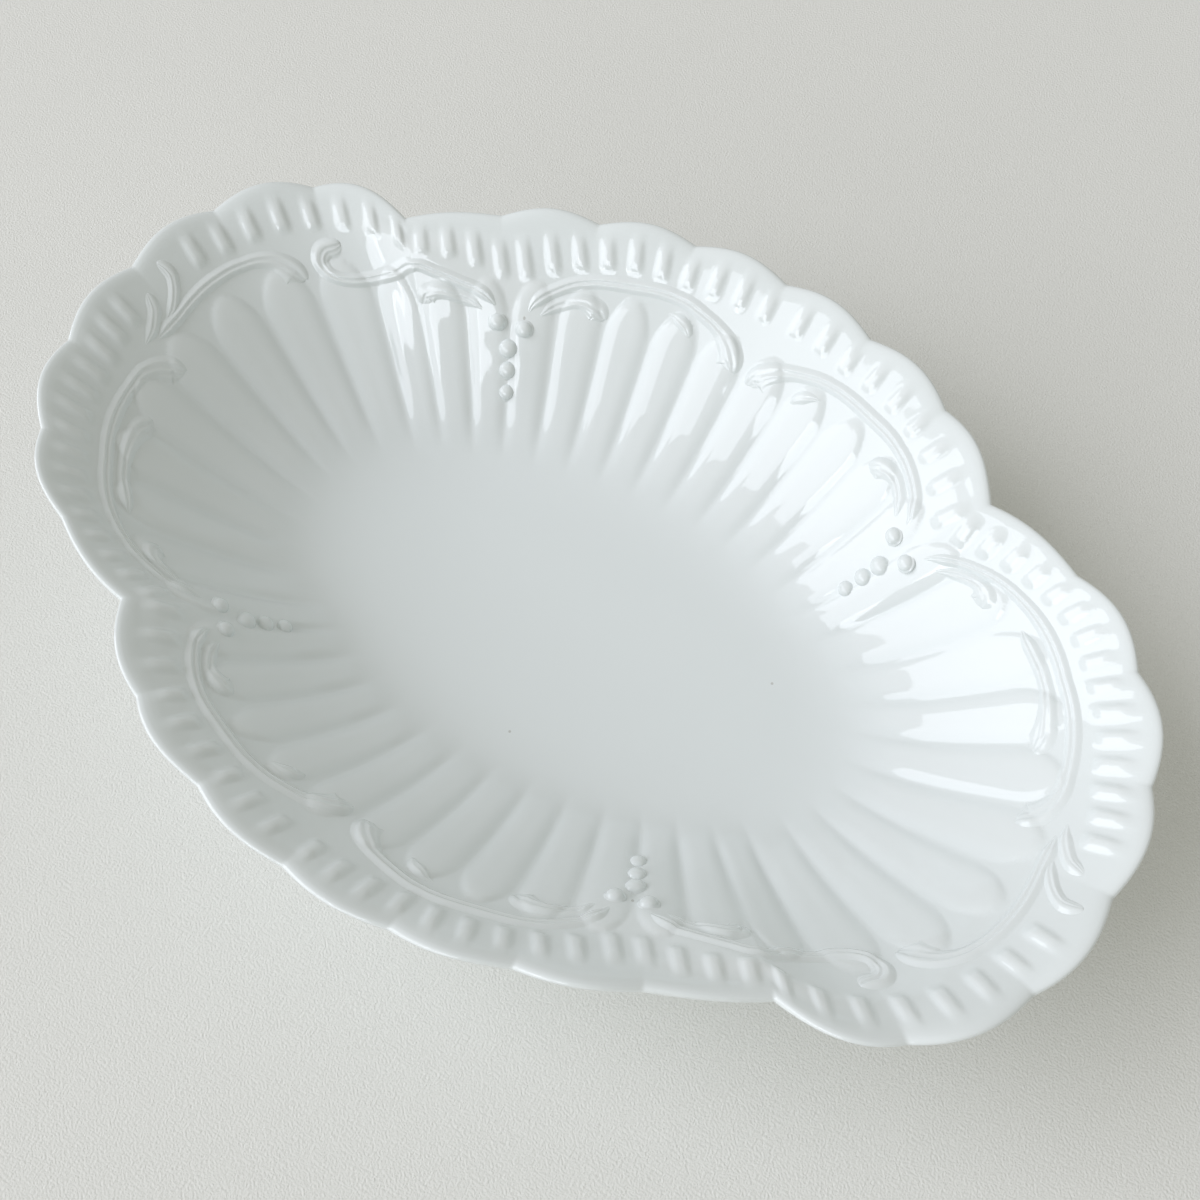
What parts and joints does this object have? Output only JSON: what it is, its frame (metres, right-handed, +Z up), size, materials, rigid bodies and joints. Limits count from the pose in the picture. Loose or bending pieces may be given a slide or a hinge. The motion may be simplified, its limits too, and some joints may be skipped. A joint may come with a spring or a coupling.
{
  "type": "relish dish",
  "caption": "Oval glazed porcelain serving dish with a scalloped rim, a lobed bowl wall, applied scrolls and bead drops inside, and an oval foot ring.",
  "frame": {"origin": "on the table plane, under the middle of the foot ring", "axes": "+X along the dish's length, +Y across it, +Z up out of the bowl"},
  "size_m": [0.247, 0.1674, 0.0509],
  "materials": {
    "body_glaze": "opaque white porcelain under a glossy, slightly cool clear glaze",
    "relief_glaze": "opaque white porcelain relief, its edges softened by the glaze",
    "foot_porcelain": "opaque white porcelain, glazed on its sides and wiped bare where it stands"
  },
  "bodies": {
    "root": {"dish_body": "body_glaze", "foot_ring": "foot_porcelain", "long_scroll_a": "relief_glaze", "short_scroll_a": "relief_glaze", "shoulder_scroll_a": "relief_glaze", "left_scroll_a": "relief_glaze", "right_scroll_a": "relief_glaze", "heel_curl_a": "relief_glaze", "inner_curl_a": "relief_glaze", "low_frond_a": "relief_glaze", "high_frond_a": "relief_glaze", "shoulder_curl_a": "relief_glaze", "left_curl_a": "relief_glaze", "right_curl_a": "relief_glaze", "left_tendril_a": "relief_glaze", "right_tendril_a": "relief_glaze", "long_root_a": "relief_glaze", "shoulder_root_a": "relief_glaze", "left_root_a": "relief_glaze", "right_root_a": "relief_glaze", "bead_end_large_a": "relief_glaze", "bead_end_middle_a": "relief_glaze", "bead_end_small_a": "relief_glaze", "bead_side_large_a": "relief_glaze", "bead_side_middle_a": "relief_glaze", "bead_side_small_a": "relief_glaze", "long_scroll_b": "relief_glaze", "short_scroll_b": "relief_glaze", "shoulder_scroll_b": "relief_glaze", "left_scroll_b": "relief_glaze", "right_scroll_b": "relief_glaze", "heel_curl_b": "relief_glaze", "inner_curl_b": "relief_glaze", "low_frond_b": "relief_glaze", "high_frond_b": "relief_glaze", "shoulder_curl_b": "relief_glaze", "left_curl_b": "relief_glaze", "right_curl_b": "relief_glaze", "left_tendril_b": "relief_glaze", "right_tendril_b": "relief_glaze", "long_root_b": "relief_glaze", "shoulder_root_b": "relief_glaze", "left_root_b": "relief_glaze", "right_root_b": "relief_glaze", "bead_end_large_b": "relief_glaze", "bead_end_middle_b": "relief_glaze", "bead_end_small_b": "relief_glaze", "bead_side_large_b": "relief_glaze", "bead_side_middle_b": "relief_glaze", "bead_side_small_b": "relief_glaze"}
  },
  "joints": []
}
